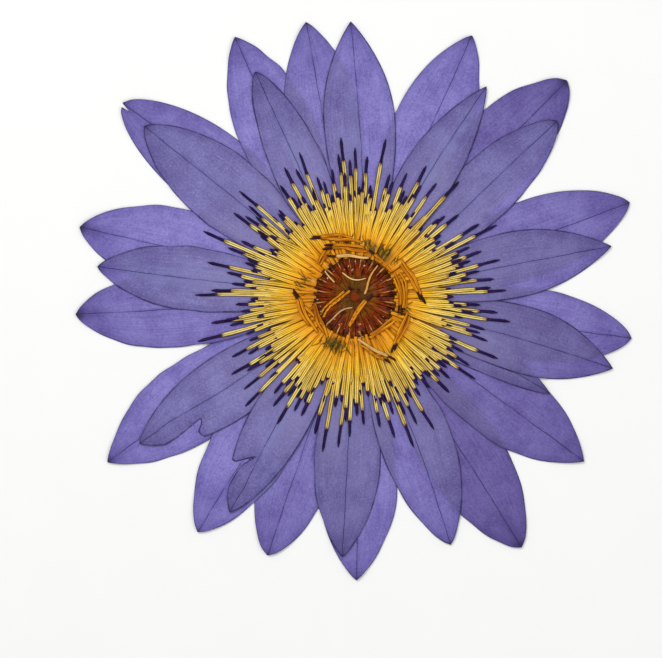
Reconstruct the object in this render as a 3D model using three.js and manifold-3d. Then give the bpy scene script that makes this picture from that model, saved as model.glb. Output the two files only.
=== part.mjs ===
// A water lily flower pressed flat: 4 sepals, 24 petals, 3 whorls of strap-shaped stamens, the
// stamens that folded in over the middle, and the pistil with its dished, many-rayed disc.
// Millimetres, +Z up. The flower lies flat, with its underside on z = 0.
import * as THREE from 'three';
import { mergeVertices } from 'three/addons/utils/BufferGeometryUtils.js';
import Module from 'manifold-3d';

const wasm = await Module();
wasm.setup();

// ---------------------------------------------------------------- driving dimensions
const PETAL_THICKNESS = 0.22;
const PETAL_LEVEL = 0.32; // rise from one layer of petals to the next
const PETAL_ROOT_RADIUS = 11.7; // the claws start here, round the pistil
const CLAW_SHARE = 0.3; // width of the claw over the widest width
const SIDE_STEPS = 15; // outline steps along each side of a petal
const TIP_CROWDING = 1.4; // above 1, the steps lie closer together towards the tip
const CUT_MARGIN = 1; // how far a tear's cutter stands out above and below the petal

const PISTIL_RADIUS = 11;
const RIM_HEIGHT = 2.6;
const DISH_HEIGHT = 2.05;
const FOOT_INSET = 0.8; // the receptacle's lower edge is turned in
const FOOT_RISE = 0.5;
const RIM_WIDTH = 1.8;
const RIM_CREST_INSET = 0.8; // the rim is highest this far inside the wall
const RIM_ROUND = 0.5;
const EDGE_FALL = 0.12; // a rounded edge lies this far below its crest
const KNOB_RADIUS = 1.45;
const KNOB_HEIGHT = 2.62;
const KNOB_ROUND = 0.75;
const KNOB_FOOT = 1.2; // width of the slope round the knob
const PISTIL_SEGMENTS = 40;

const BAND_INNER_RADIUS = 11.3; // the stamens of a fan grow together in this band
const BAND_OUTER_RADIUS = 12.9;
const STAMEN_THICKNESS = 0.25;
const STAMEN_ROOT_WIDTH = 0.8;
const STAMEN_WIDTH = 1.15;
const STAMEN_WAIST_WIDTH = 0.75;
const STAMEN_OVERLAP = 0.6; // how far outside the band's inner edge a stamen starts
const WAIST_SHARE = 0.3; // the waist's place in the appendage, from its tip
const APPENDAGE_SHORTEST = 1;
const APPENDAGE_LONGEST = 6;
const APPENDAGE_BASE_REACH = 24; // stamens that reach farther have longer appendages
const APPENDAGE_GROWTH = 0.27;
const FAN_GAP = 0.8; // degrees left clear at each end of a fan's band
const FAN_BAND_STEPS = 14;
const RING_BAND_STEPS = 48;
const OUTER_WHORL_Z = 1.62;
const MIDDLE_WHORL_Z = 1.98;
const INNER_WHORL_Z = 2.34;
const OUTER_WHORL_REACH = 37; // stamens at least this long are in the outer whorl
const MIDDLE_WHORL_REACH = 32;

const FOLDED_LEVELS = [2.76, 3.08, 3.4]; // undersides of the folded stamens
const FOLDED_THICKNESS = 0.24;
const FOLDED_STEPS = 7;
const FOLDED_POINT = 0.94; // a folded stamen narrows to its point from here on

// ---------------------------------------------------------------- colours
const SEPAL_COLOUR = 0x766db4;
const OUTER_PETAL_COLOUR = 0x7a70c0;
const INNER_PETAL_COLOUR = 0x625fa0;
const STAMEN_COLOUR = 0xd9b64a;
const FOLDED_COLOUR = 0xe0a030;
const PISTIL_COLOUR = 0x5a2418;

function petalMaterial(colour) {
  return new THREE.MeshStandardMaterial({ color: colour, roughness: 0.72, metalness: 0 });
}

function stamenMaterial(colour) {
  return new THREE.MeshStandardMaterial({ color: colour, roughness: 0.6, metalness: 0 });
}

// ---------------------------------------------------------------- helpers
function polar(radius, degrees) {
  const angle = THREE.MathUtils.degToRad(degrees);
  return new THREE.Vector2(radius * Math.cos(angle), radius * Math.sin(angle));
}

// A flat sheet of the given outline, lying between z and z + thickness.
function sheet(outline, z, thickness, hole) {
  const shape = new THREE.Shape(outline);
  if (hole) shape.holes.push(new THREE.Path(hole));
  const geometry = new THREE.ExtrudeGeometry(shape, { depth: thickness, bevelEnabled: false });
  geometry.translate(0, 0, z);
  return geometry;
}

function toSolid(geometry) {
  const bare = geometry.clone();
  bare.deleteAttribute('normal');
  bare.deleteAttribute('uv');
  const merged = mergeVertices(bare, 1e-4);
  const mesh = new wasm.Mesh({
    numProp: 3,
    vertProperties: new Float32Array(merged.attributes.position.array),
    triVerts: new Uint32Array(merged.index.array),
  });
  mesh.merge();
  return new wasm.Manifold(mesh);
}

function toGeometry(solid) {
  const mesh = solid.getMesh();
  const geometry = new THREE.BufferGeometry();
  geometry.setAttribute('position', new THREE.BufferAttribute(mesh.vertProperties, 3));
  geometry.setIndex(new THREE.BufferAttribute(mesh.triVerts, 1));
  geometry.computeVertexNormals();
  return geometry;
}

function named(name, geometry, material) {
  const mesh = new THREE.Mesh(geometry, material);
  mesh.name = name;
  return mesh;
}

// ---------------------------------------------------------------- sepals and petals
// Each blade: level (0 lies lowest), direction of its tip in degrees, reach of its tip from the
// middle, half width, bow of its midrib to the left, where along it is widest (0 root, 1 tip),
// how drawn out its point is (0.5 round, 1 pointed), and how far its root stands aside in degrees.
const SEPALS = [
  [0, 45.6, 80.2, 10.7, 0.1, 0.6, 0.68, 0],
  [0, 140.2, 80.2, 10.6, -1.5, 0.55, 0.65, 0],
  [0, 213.7, 78.8, 10.9, -1.0, 0.6, 0.9, 0],
  [0, 303.6, 79.6, 10.6, 0.8, 0.58, 0.72, 0],
];

const OUTER_PETALS = [
  [1, 19.0, 76.9, 10.3, -0.7, 0.6, 0.78, 0],
  [1, 65.9, 75.8, 10.2, 0.0, 0.58, 0.84, 0],
  [2, 100.1, 73.9, 10.0, 0.0, 0.58, 0.85, 0],
  [1, 114.8, 75.8, 10.3, 0.3, 0.58, 0.85, 0],
  [1, 165.8, 75.2, 11.0, -0.6, 0.58, 0.76, 0],
  [2, 183.6, 74.1, 10.2, 0.2, 0.6, 0.75, 0],
  [1, 236.2, 74.9, 10.3, -0.8, 0.58, 0.77, 0],
  [0, 251.3, 72.2, 9.6, 0.0, 0.6, 0.7, 0],
  [1, 270.3, 75.0, 10.5, 0.5, 0.6, 0.88, 0],
  [1, 324.3, 74.6, 10.3, 0.3, 0.6, 0.92, 0],
  [0, 351.5, 74.0, 9.6, -0.4, 0.6, 0.74, 0],
];

const INNER_PETALS = [
  [4, 11.2, 69.2, 8.8, 0.2, 0.55, 0.96, 0],
  [2, 41.0, 71.0, 8.2, 0.4, 0.57, 0.7, -16],
  [3, 58.0, 65.7, 7.1, 0.7, 0.47, 0.9, 0],
  [4, 90.9, 72.9, 9.5, -0.6, 0.57, 0.95, -15],
  [3, 113.9, 65.2, 7.0, -0.3, 0.47, 0.7, 0],
  [2, 141.0, 71.8, 9.8, -0.2, 0.55, 0.75, 0],
  [3, 173.3, 68.7, 8.5, 0.3, 0.58, 0.8, 0],
  [2, 214.2, 69.0, 8.9, 0.8, 0.53, 0.81, 0],
  [3, 239.8, 66.0, 7.8, -0.9, 0.5, 0.8, 0],
  [2, 267.2, 68.9, 8.8, 0.1, 0.57, 0.88, 0],
  [3, 291.1, 70.3, 9.6, 1.3, 0.53, 0.8, 0],
  [2, 333.6, 57.5, 5.0, 1.5, 0.4, 0.8, 0],
  [3, 344.5, 70.8, 8.9, 1.0, 0.6, 0.95, 0],
];

// Small tears and splits, as outlines in shares of the blade's length and millimetres across it.
const TEARS = {
  sepal_2: [[0.955, 0.5], [1.02, 1.2], [1.02, -0.3]],
  petal_inner_8: [
    [0.7, 3.6], [0.81, 4.2], [0.86, 4.3], [0.9, 4.1], [0.96, 6], [0.86, 9.5],
    [0.735, 9.5], [0.745, 6.1], [0.712, 4.8],
  ],
  petal_inner_9: [
    [0.7, -1.5], [0.77, -5.3], [0.78, -9], [0.97, -6], [0.93, -2.9], [0.89, -3.7],
    [0.82, -3.8], [0.77, -3.5],
  ],
};

function bladeFrame([level, tipAngle, reach, halfWidth, bow, widest, point, turn]) {
  const root = polar(PETAL_ROOT_RADIUS, tipAngle + turn);
  const axis = polar(reach, tipAngle).sub(root);
  const across = new THREE.Vector2(-axis.y, axis.x).normalize();

  function place(share, offset) {
    return root.clone().addScaledVector(axis, share).addScaledVector(across, offset);
  }

  function half(share) {
    if (share < widest) {
      const swell = Math.sin((Math.PI / 2) * (share / widest));
      return halfWidth * (CLAW_SHARE + (1 - CLAW_SHARE) * swell);
    }
    const past = (share - widest) / (1 - widest);
    return halfWidth * Math.max(0, 1 - past * past) ** point;
  }

  function edge(share, side) {
    return place(share, side * half(share) + bow * Math.sin(Math.PI * share));
  }

  return { z: level * PETAL_LEVEL, place, edge };
}

function bladeOutline(blade) {
  const shares = [];
  for (let i = 0; i < SIDE_STEPS; i++) shares.push(1 - (1 - i / SIDE_STEPS) ** TIP_CROWDING);
  const right = shares.map((share) => blade.edge(share, -1));
  const left = shares.map((share) => blade.edge(share, 1)).reverse();
  return [...right, blade.place(1, 0), ...left];
}

function bladeGeometry(name, row) {
  const blade = bladeFrame(row);
  const whole = sheet(bladeOutline(blade), blade.z, PETAL_THICKNESS);
  if (!TEARS[name]) return whole;
  const tear = TEARS[name].map(([share, offset]) => blade.place(share, offset));
  const cutter = sheet(tear, blade.z - CUT_MARGIN, PETAL_THICKNESS + 2 * CUT_MARGIN);
  return toGeometry(toSolid(whole).subtract(toSolid(cutter)));
}

function blades(prefix, rows, colour) {
  const group = new THREE.Group();
  rows.forEach((row, i) => {
    const name = `${prefix}_${i + 1}`;
    group.add(named(name, bladeGeometry(name, row), petalMaterial(colour)));
  });
  return group;
}

// ---------------------------------------------------------------- pistil
// One body of revolution: the flat receptacle below, the wall, the rolled rim of the disc, the
// shallow dish inside it and the knob in the middle.
function pistil() {
  const profile = [
    [0, 0],
    [PISTIL_RADIUS - FOOT_INSET, 0],
    [PISTIL_RADIUS, FOOT_RISE],
    [PISTIL_RADIUS, RIM_HEIGHT - RIM_ROUND],
    [PISTIL_RADIUS - RIM_ROUND / 2, RIM_HEIGHT - EDGE_FALL],
    [PISTIL_RADIUS - RIM_CREST_INSET, RIM_HEIGHT],
    [PISTIL_RADIUS - RIM_WIDTH, RIM_HEIGHT - EDGE_FALL],
    [PISTIL_RADIUS - 2 * RIM_WIDTH, DISH_HEIGHT + EDGE_FALL],
    [KNOB_RADIUS + KNOB_FOOT, DISH_HEIGHT],
    [KNOB_RADIUS, DISH_HEIGHT + EDGE_FALL],
    [KNOB_RADIUS - KNOB_ROUND / 3, KNOB_HEIGHT - EDGE_FALL],
    [KNOB_RADIUS - KNOB_ROUND, KNOB_HEIGHT],
    [0, KNOB_HEIGHT],
  ].map(([radius, z]) => new THREE.Vector2(radius, z));
  const geometry = new THREE.LatheGeometry(profile, PISTIL_SEGMENTS);
  geometry.rotateX(Math.PI / 2);
  const material = new THREE.MeshStandardMaterial({
    color: PISTIL_COLOUR,
    roughness: 0.35,
    metalness: 0,
  });
  return named('pistil', geometry, material);
}

// ---------------------------------------------------------------- stamens in whorls
// Each stamen: direction of its tip in degrees, reach of its tip, and the direction of its root
// where that differs.
const STAMENS = [
  [0.2, 26], [2.5, 40], [3.9, 36], [7.4, 37, 6.3], [9, 31], [11.8, 33.5], [13, 27.5],
  [14.4, 39.5], [17.4, 32], [19.5, 30], [19.9, 35.5], [23.6, 33], [26.9, 42], [28.9, 30.3],
  [30.4, 38], [36, 28], [38.5, 35], [42, 32], [48, 41], [54.4, 37], [59.4, 34.3], [61.5, 39.4],
  [65.1, 31], [67.3, 35.5], [71.9, 32], [74.2, 33.7], [79, 42.5, 76], [81.3, 28.8],
  [83.6, 26.8], [85, 37.3], [85.8, 31], [90, 39.5], [92.2, 36.3], [93, 27.5], [95.1, 42.3],
  [94.8, 33], [96.7, 38, 98.5], [100.3, 34.3], [102.8, 27.8], [105.2, 31.7], [107.6, 33.3],
  [111.1, 41], [111.9, 30], [114.8, 37.2], [117.2, 27.6], [118.6, 39], [122.3, 31.3],
  [123.8, 35.5, 126], [132.7, 30], [136, 25.8], [137.5, 41.5, 136], [139.4, 37], [141.1, 33.7],
  [143.6, 36], [144.2, 27.8], [145.3, 39], [145.7, 31.3, 147.3], [149.5, 25], [152, 25],
  [153.8, 33.5], [156.6, 43.7], [158.8, 36], [161, 30], [162.7, 30.5], [164.5, 28],
  [166.8, 40], [169.2, 34.5], [171.8, 29.8], [173.8, 32.8], [177.4, 38, 176], [179.3, 42.3],
  [181.2, 27.7], [183.6, 31.6], [190.3, 38.6, 191.7], [190.2, 35.3, 189], [191.8, 26.5],
  [192.8, 34], [195.8, 43.2], [202.4, 30.3], [206, 36.2], [208.1, 32], [212.1, 38.6],
  [213.3, 28.5], [214.4, 34.6], [218, 30.2], [219.7, 38.2, 220.8], [224.9, 41], [230, 33.3],
  [233.2, 36.1], [235.9, 31.7], [238.5, 39.4], [242, 34.2], [244.2, 31], [245.7, 34.5, 249],
  [253.6, 37.8, 252], [258.1, 41.8, 256], [259.6, 29.6], [263.6, 40], [265.6, 33], [267.8, 37],
  [270.9, 31.4], [273.9, 33.9], [276.5, 23.8], [280.8, 35.1], [285.7, 38.7, 283], [285.6, 29],
  [288, 32.7], [291.3, 42.6], [292.5, 25.8], [293, 33.8], [295.9, 37.4], [299.3, 30.4],
  [300.8, 40.8, 303], [306.9, 27.5], [309.3, 31.1], [313.2, 29], [314.6, 35.5], [319.3, 33],
  [322.4, 30.6], [325.6, 38.6], [326.5, 26.3], [329.1, 35.3], [333.1, 32.1], [336.6, 41.1],
  [336.9, 29.4], [341.6, 36.9], [343.9, 34.4], [345.9, 35.4, 347], [350.9, 41.5], [352.5, 31.8],
  [353.7, 37.9], [355.2, 28.5], [356.3, 33.2, 357.5],
];

// Directions where one fan of a whorl ends and the next starts.
const OUTER_BREAKS = [38, 128, 204, 314];
const MIDDLE_BREAKS = [50, 134, 222, 304];

function appendageLength(reach) {
  const length = APPENDAGE_SHORTEST + (reach - APPENDAGE_BASE_REACH) * APPENDAGE_GROWTH;
  return THREE.MathUtils.clamp(length, APPENDAGE_SHORTEST, APPENDAGE_LONGEST);
}

function stamenOutline(tipAngle, reach, rootAngle) {
  const root = polar(BAND_INNER_RADIUS + STAMEN_OVERLAP, rootAngle);
  const tip = polar(reach, tipAngle);
  const along = tip.clone().sub(root).normalize();
  const across = new THREE.Vector2(-along.y, along.x);
  const appendage = appendageLength(reach);
  const place = (back, width) =>
    tip.clone().addScaledVector(along, -back).addScaledVector(across, width / 2);
  const length = tip.distanceTo(root);
  return [
    place(length, -STAMEN_ROOT_WIDTH),
    place(appendage, -STAMEN_WIDTH),
    place(appendage * WAIST_SHARE, -STAMEN_WAIST_WIDTH),
    tip,
    place(appendage * WAIST_SHARE, STAMEN_WAIST_WIDTH),
    place(appendage, STAMEN_WIDTH),
    place(length, STAMEN_ROOT_WIDTH),
  ];
}

function bandOutline(from, to) {
  const outside = [];
  const inside = [];
  for (let i = 0; i <= FAN_BAND_STEPS; i++) {
    const angle = from + ((to - from) * i) / FAN_BAND_STEPS;
    outside.push(polar(BAND_OUTER_RADIUS, angle));
    inside.push(polar(BAND_INNER_RADIUS, angle));
  }
  return [...outside, ...inside.reverse()];
}

function ringBand(z) {
  const circle = (radius) =>
    Array.from({ length: RING_BAND_STEPS }, (_, i) => polar(radius, (360 * i) / RING_BAND_STEPS));
  const hole = circle(BAND_INNER_RADIUS).reverse();
  return sheet(circle(BAND_OUTER_RADIUS), z, STAMEN_THICKNESS, hole);
}

function fanGeometry(band, rows, z) {
  let solid = toSolid(band);
  for (const [tipAngle, reach, rootAngle = tipAngle] of rows) {
    const outline = stamenOutline(tipAngle, reach, rootAngle);
    solid = solid.add(toSolid(sheet(outline, z, STAMEN_THICKNESS)));
  }
  return toGeometry(solid);
}

function whorlOf(reach) {
  if (reach >= OUTER_WHORL_REACH) return 'outer';
  return reach >= MIDDLE_WHORL_REACH ? 'middle' : 'inner';
}

function whorl(kind, breaks, z) {
  const rows = STAMENS.filter(([, reach]) => whorlOf(reach) === kind);
  const group = new THREE.Group();
  breaks.forEach((from, i) => {
    const to = i + 1 < breaks.length ? breaks[i + 1] : breaks[0] + 360;
    const own = rows.filter(([tipAngle]) => {
      const turned = tipAngle < from ? tipAngle + 360 : tipAngle;
      return turned >= from && turned < to;
    });
    const band = sheet(bandOutline(from + FAN_GAP, to - FAN_GAP), z, STAMEN_THICKNESS);
    const material = stamenMaterial(STAMEN_COLOUR);
    group.add(named(`stamens_${kind}_${i + 1}`, fanGeometry(band, own, z), material));
  });
  return group;
}

function innerWhorl() {
  const rows = STAMENS.filter(([, reach]) => whorlOf(reach) === 'inner');
  const geometry = fanGeometry(ringBand(INNER_WHORL_Z), rows, INNER_WHORL_Z);
  return named('stamens_inner', geometry, stamenMaterial(STAMEN_COLOUR));
}

// ---------------------------------------------------------------- stamens folded in
// Each folded stamen: level, width, and its middle line from root to tip.
const FOLDED_STAMENS = [
  [0, 1.3, [[1.8, 14.5], [-5.5, 15.4], [-11.9, 15.4]]],
  [1, 1.3, [[3.3, 11.8], [-4.3, 13.2], [-8.7, 12.6]]],
  [1, 1.2, [[3.6, 10.4], [-1.2, 10.7], [-7.5, 10.9]]],
  [0, 1.2, [[-9.1, 8.4], [-7.9, 10.9], [-6.1, 13.9]]],
  [0, 0.8, [[2.9, 4.8], [0.6, 4.6], [-1.8, 5.1], [-3.7, 6.5]]],
  [0, 1.2, [[-7.9, 6.9], [-6.5, 5.2], [-5.2, 3.7]]],
  [1, 1.2, [[5.9, 8.4], [3.9, 4.8], [2.3, 0.4]]],
  [2, 1.3, [[3.6, 12.4], [6.7, 9.7], [9.7, 6.6]]],
  [0, 1.1, [[10.3, 6.6], [11.8, 3.6], [12.3, -0.1], [12.1, -4.9]]],
  [0, 1.1, [[11.8, 6.6], [13.4, 3.3], [13.4, -0.7], [12.9, -3.3]]],
  [0, 1.3, [[12.4, 9.7], [14.9, 6], [16.7, 2.4], [18.5, -1.9]]],
  [1, 1.3, [[13.7, -4.3], [12.4, -8], [10.6, -11.9], [9.3, -14.8]]],
  [0, 1.3, [[10.6, -6.1], [7.3, -8.6], [3.6, -11]]],
  [0, 1.3, [[0.6, -11.3], [4.9, -13.7], [10.8, -16.9]]],
  [1, 1.1, [[1.5, -12.8], [4.9, -15], [9.4, -17.5]]],
  [0, 1.3, [[-10, -9.5], [-13.1, -4.3], [-14.9, -0.1], [-16.4, 2.1]]],
  [1, 1.2, [[-10.9, -5.2], [-12.2, -3.6], [-13.4, -2.2]]],
  [0, 1.2, [[-7.3, -10.7], [-9.4, -5.2], [-11, -1.3]]],
  [1, 1.9, [[-8.8, -5.2], [-7.3, -2.8], [-4.3, -0.1], [-1.2, 2.1]]],
  [1, 0.8, [[-7.6, -7.1], [-3.7, -3.7], [-0.3, -2.8]]],
  [0, 1.9, [[-1.8, -7.7], [0.9, -3.7], [3, -0.7], [4.5, 0.8]]],
];

function strapOutline(points, width) {
  const line = new THREE.SplineCurve(points.map(([x, y]) => new THREE.Vector2(x, y)));
  const right = [];
  const left = [];
  for (let i = 0; i < FOLDED_STEPS; i++) {
    const share = (i / FOLDED_STEPS) * FOLDED_POINT;
    const along = line.getTangentAt(share);
    const across = new THREE.Vector2(-along.y, along.x);
    const middle = line.getPointAt(share);
    right.push(middle.clone().addScaledVector(across, -width / 2));
    left.push(middle.clone().addScaledVector(across, width / 2));
  }
  return [...right, line.getPointAt(1), ...left.reverse()];
}

function foldedStamens() {
  const group = new THREE.Group();
  FOLDED_STAMENS.forEach(([level, width, points], i) => {
    const geometry = sheet(strapOutline(points, width), FOLDED_LEVELS[level], FOLDED_THICKNESS);
    group.add(named(`stamen_folded_${i + 1}`, geometry, stamenMaterial(FOLDED_COLOUR)));
  });
  return group;
}

// ---------------------------------------------------------------- the whole flower
const flower = new THREE.Group();
flower.add(blades('sepal', SEPALS, SEPAL_COLOUR));
flower.add(blades('petal_outer', OUTER_PETALS, OUTER_PETAL_COLOUR));
flower.add(blades('petal_inner', INNER_PETALS, INNER_PETAL_COLOUR));
flower.add(pistil());
flower.add(whorl('outer', OUTER_BREAKS, OUTER_WHORL_Z));
flower.add(whorl('middle', MIDDLE_BREAKS, MIDDLE_WHORL_Z));
flower.add(innerWhorl());
flower.add(foldedStamens());

// The origin is the middle of the flower's outline, on the surface it lies on.
const extent = new THREE.Box3().setFromObject(flower);
const middle = extent.getCenter(new THREE.Vector3());
flower.position.set(-middle.x, -middle.y, -extent.min.z);

const group = new THREE.Group();
group.add(flower);
group.updateMatrixWorld(true);

export default group;
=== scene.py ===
import math
import random

import bpy
import numpy as np
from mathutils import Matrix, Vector


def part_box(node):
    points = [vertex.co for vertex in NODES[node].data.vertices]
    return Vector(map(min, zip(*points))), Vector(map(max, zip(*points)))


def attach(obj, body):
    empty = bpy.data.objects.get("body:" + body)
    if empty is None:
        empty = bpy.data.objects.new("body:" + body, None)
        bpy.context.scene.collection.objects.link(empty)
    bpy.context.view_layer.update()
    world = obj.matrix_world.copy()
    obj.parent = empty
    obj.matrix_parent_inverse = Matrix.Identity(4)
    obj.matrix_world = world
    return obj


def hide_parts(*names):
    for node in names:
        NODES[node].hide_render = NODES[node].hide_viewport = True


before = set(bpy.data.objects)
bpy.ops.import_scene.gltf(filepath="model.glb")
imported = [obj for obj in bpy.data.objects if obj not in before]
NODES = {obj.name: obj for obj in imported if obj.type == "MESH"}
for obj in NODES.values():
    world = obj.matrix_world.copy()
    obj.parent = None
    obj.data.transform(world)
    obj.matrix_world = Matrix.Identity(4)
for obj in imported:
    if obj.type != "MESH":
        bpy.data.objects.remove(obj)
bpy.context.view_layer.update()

MM = 0.001
PISTIL_LOW, PISTIL_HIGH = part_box("pistil")
MIDDLE = np.array([(PISTIL_LOW.x + PISTIL_HIGH.x) / 2, (PISTIL_LOW.y + PISTIL_HIGH.y) / 2]) / MM

# ------------------------------------------------------------------ plan outlines of CAD nodes

POINT_GRID = 500  # points nearer than 1/500 mm count as one
LEVEL_TOLERANCE = 0.01


def top_face(node):
    """Plan points (mm) and boundary edges of a flat node's top face."""
    mesh = NODES[node].data
    co = np.array([v.co for v in mesh.vertices], float) / MM
    top = co[:, 2].max()
    points, index, count = [], {}, {}

    def number(vertex):
        x, y, z = co[vertex]
        key = (round(x * POINT_GRID), round(y * POINT_GRID))
        if key not in index:
            index[key] = len(points)
            points.append((x, y))
        return index[key]

    for face in mesh.polygons:
        ring = list(face.vertices)
        if any(abs(co[v][2] - top) > LEVEL_TOLERANCE for v in ring):
            continue
        ids = [number(v) for v in ring]
        for a, b in zip(ids, ids[1:] + ids[:1]):
            if a != b:
                key = (min(a, b), max(a, b))
                count[key] = count.get(key, 0) + 1
    edges = [e for e, n in count.items() if n == 1]
    return np.array(points), edges, top


def outline(node):
    """The outline of a flat node as one ring of plan points, in mm, anticlockwise."""
    points, edges, top = top_face(node)
    near = {}
    for a, b in edges:
        near.setdefault(a, []).append(b)
        near.setdefault(b, []).append(a)
    start = edges[0][0]
    ring, previous, current = [start], None, start
    while True:
        choices = [n for n in near[current] if n != previous]
        previous, current = current, choices[0]
        if current == start or len(ring) > len(points):
            break
        ring.append(current)
    loop = points[ring]
    area = np.sum(loop[:, 0] * np.roll(loop[:, 1], -1) - loop[:, 1] * np.roll(loop[:, 0], -1))
    return (loop if area > 0 else loop[::-1]), top


def turn_at(loop):
    """How sharply a ring turns at each of its points, in degrees."""
    before = loop - np.roll(loop, 1, axis=0)
    after = np.roll(loop, -1, axis=0) - loop
    cross = before[:, 0] * after[:, 1] - before[:, 1] * after[:, 0]
    dot = (before * after).sum(1)
    return np.degrees(np.arctan2(cross, dot))


def smooth_ring(loop, steps=8, corner=32):
    """A ring with extra points on smooth curves between its own, and its corners kept."""
    turns = np.abs(turn_at(loop))
    n = len(loop)
    out = []
    for i in range(n):
        p1, p2 = loop[i], loop[(i + 1) % n]
        p0 = loop[i - 1] if turns[i] < corner else 2 * p1 - p2
        p3 = loop[(i + 2) % n] if turns[(i + 1) % n] < corner else 2 * p2 - p1
        for k in range(steps):
            t = k / steps
            out.append(0.5 * (2 * p1 + (p2 - p0) * t + (2 * p0 - 5 * p1 + 4 * p2 - p3) * t * t
                              + (3 * p1 - p0 - 3 * p2 + p3) * t ** 3))
    return np.array(out)


# ------------------------------------------------------------------ small tools


def srgb(code):
    """A linear colour from its usual six-figure code."""
    channels = [int(code[i:i + 2], 16) / 255 for i in (0, 2, 4)]
    return tuple(c / 12.92 if c < 0.04045 else ((c + 0.055) / 1.055) ** 2.4 for c in channels)


def smoothstep(low_edge, high_edge, x):
    t = np.clip((x - low_edge) / (high_edge - low_edge), 0, 1)
    return t * t * (3 - 2 * t)


def waves(x, y, seed, size, count=7):
    """Soft random unevenness of about plus or minus 1, with waves about size mm long."""
    rng = random.Random(seed)
    total = np.zeros_like(x)
    for _ in range(count):
        angle = rng.uniform(0, 2 * math.pi)
        pitch = 2 * math.pi / (size * rng.uniform(0.7, 1.6))
        phase = rng.uniform(0, 2 * math.pi)
        total = total + np.sin((x * math.cos(angle) + y * math.sin(angle)) * pitch + phase)
    return total / math.sqrt(count)


def piece(name, points, faces, attributes, material, slot, *stands_for):
    """A finished piece of the flower, from plan and height in mm."""
    mesh = bpy.data.meshes.new(name)
    mesh.from_pydata((np.asarray(points) * MM).tolist(), [], faces)
    for key, values in attributes.items():
        attribute = mesh.attributes.new(key, "FLOAT", "POINT")
        attribute.data.foreach_set("value", np.asarray(values, np.float32))
    mesh.polygons.foreach_set("use_smooth", [True] * len(mesh.polygons))
    mesh.materials.append(material)
    mesh.update()
    thing = bpy.data.objects.new(name, mesh)
    bpy.context.scene.collection.objects.link(thing)
    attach(thing, "root")
    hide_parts(*stands_for)
    return thing


# ------------------------------------------------------------------ the heap's height map

CELL = 0.5
HALF_FIELD = 84
STRAP_REACH = (-0.4, 0.0, 0.4)  # across a stamen, in mm, where it marks the map
FIELD = int(2 * HALF_FIELD / CELL)


class Heap:
    """Height of what lies so far, and how many blades deep it is, over the plan."""

    def __init__(self):
        self.height = np.zeros((FIELD, FIELD))
        self.depth = np.zeros((FIELD, FIELD))

    @staticmethod
    def cells(xy):
        return np.clip((np.asarray(xy) + HALF_FIELD) / CELL, 0, FIELD - 1.001)

    @classmethod
    def read(cls, grid, xy):
        c = cls.cells(xy)
        i = c.astype(int)
        f = c - i
        x0, y0 = i[..., 0], i[..., 1]
        a = grid[x0, y0] * (1 - f[..., 0]) + grid[x0 + 1, y0] * f[..., 0]
        b = grid[x0, y0 + 1] * (1 - f[..., 0]) + grid[x0 + 1, y0 + 1] * f[..., 0]
        return a * (1 - f[..., 1]) + b * f[..., 1]

    @staticmethod
    def spread(grid, reach):
        out = grid
        for _ in range(reach):
            padded = np.pad(out, 1, mode="edge")
            out = np.max([padded[1:-1, 1:-1], padded[2:, 1:-1], padded[:-2, 1:-1],
                          padded[1:-1, 2:], padded[1:-1, :-2]], axis=0)
        return out

    @staticmethod
    def soften(grid, times):
        out = grid
        for _ in range(times):
            padded = np.pad(out, 1, mode="edge")
            out = (padded[1:-1, 1:-1] * 2 + padded[2:, 1:-1] + padded[:-2, 1:-1]
                   + padded[1:-1, 2:] + padded[1:-1, :-2]) / 6
        return out

    def support(self):
        """A smooth surface that lies on top of everything so far."""
        return self.soften(self.spread(self.height, 3), 4)

    def lay(self, ring, top):
        """Adds a sheet with that outline; top gives its upper height at plan points."""
        lo = self.cells(ring.min(0)).astype(int)
        hi = self.cells(ring.max(0)).astype(int) + 1
        gx, gy = np.meshgrid(np.arange(lo[0], hi[0] + 1), np.arange(lo[1], hi[1] + 1), indexing="ij")
        xy = np.stack([gx, gy], -1) * CELL - HALF_FIELD
        inside = within(ring, xy)
        gx, gy, xy = gx[inside], gy[inside], xy[inside]
        self.height[gx, gy] = np.maximum(self.height[gx, gy], top(xy))
        self.depth[gx, gy] += 1

    def lay_strap(self, line, thick):
        """Adds a stamen along a line of 3-D points."""
        tangent = np.gradient(line[:, :2], axis=0)
        tangent /= np.hypot(*tangent.T)[:, None]
        side = np.column_stack([-tangent[:, 1], tangent[:, 0]])
        for reach in STRAP_REACH:
            i, j = self.cells(line[:, :2] + side * reach).astype(int).T
            self.height[i, j] = np.maximum(self.height[i, j], line[:, 2] + thick)


def within(ring, xy):
    """Which plan points lie inside a ring."""
    x, y = xy[..., 0], xy[..., 1]
    inside = np.zeros(x.shape, bool)
    for (x1, y1), (x2, y2) in zip(ring, np.roll(ring, -1, axis=0)):
        if y1 == y2:
            continue
        hit = ((y1 > y) != (y2 > y)) & (x < (x2 - x1) * (y - y1) / (y2 - y1) + x1)
        inside ^= hit
    return inside


def nearest_on(ring, xy):
    """Distance in mm from plan points to a ring, and the nearest points on it."""
    best = np.full(len(xy), 1e9)
    place = np.array(xy)
    for p, q in zip(ring, np.roll(ring, -1, axis=0)):
        d = q - p
        t = np.clip(((xy - p) @ d) / max(d @ d, 1e-12), 0, 1)
        here = p + t[:, None] * d
        far = np.hypot(*(xy - here).T)
        closer = far < best
        best[closer] = far[closer]
        place[closer] = here[closer]
    return best, place


# ------------------------------------------------------------------ node graphs


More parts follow.
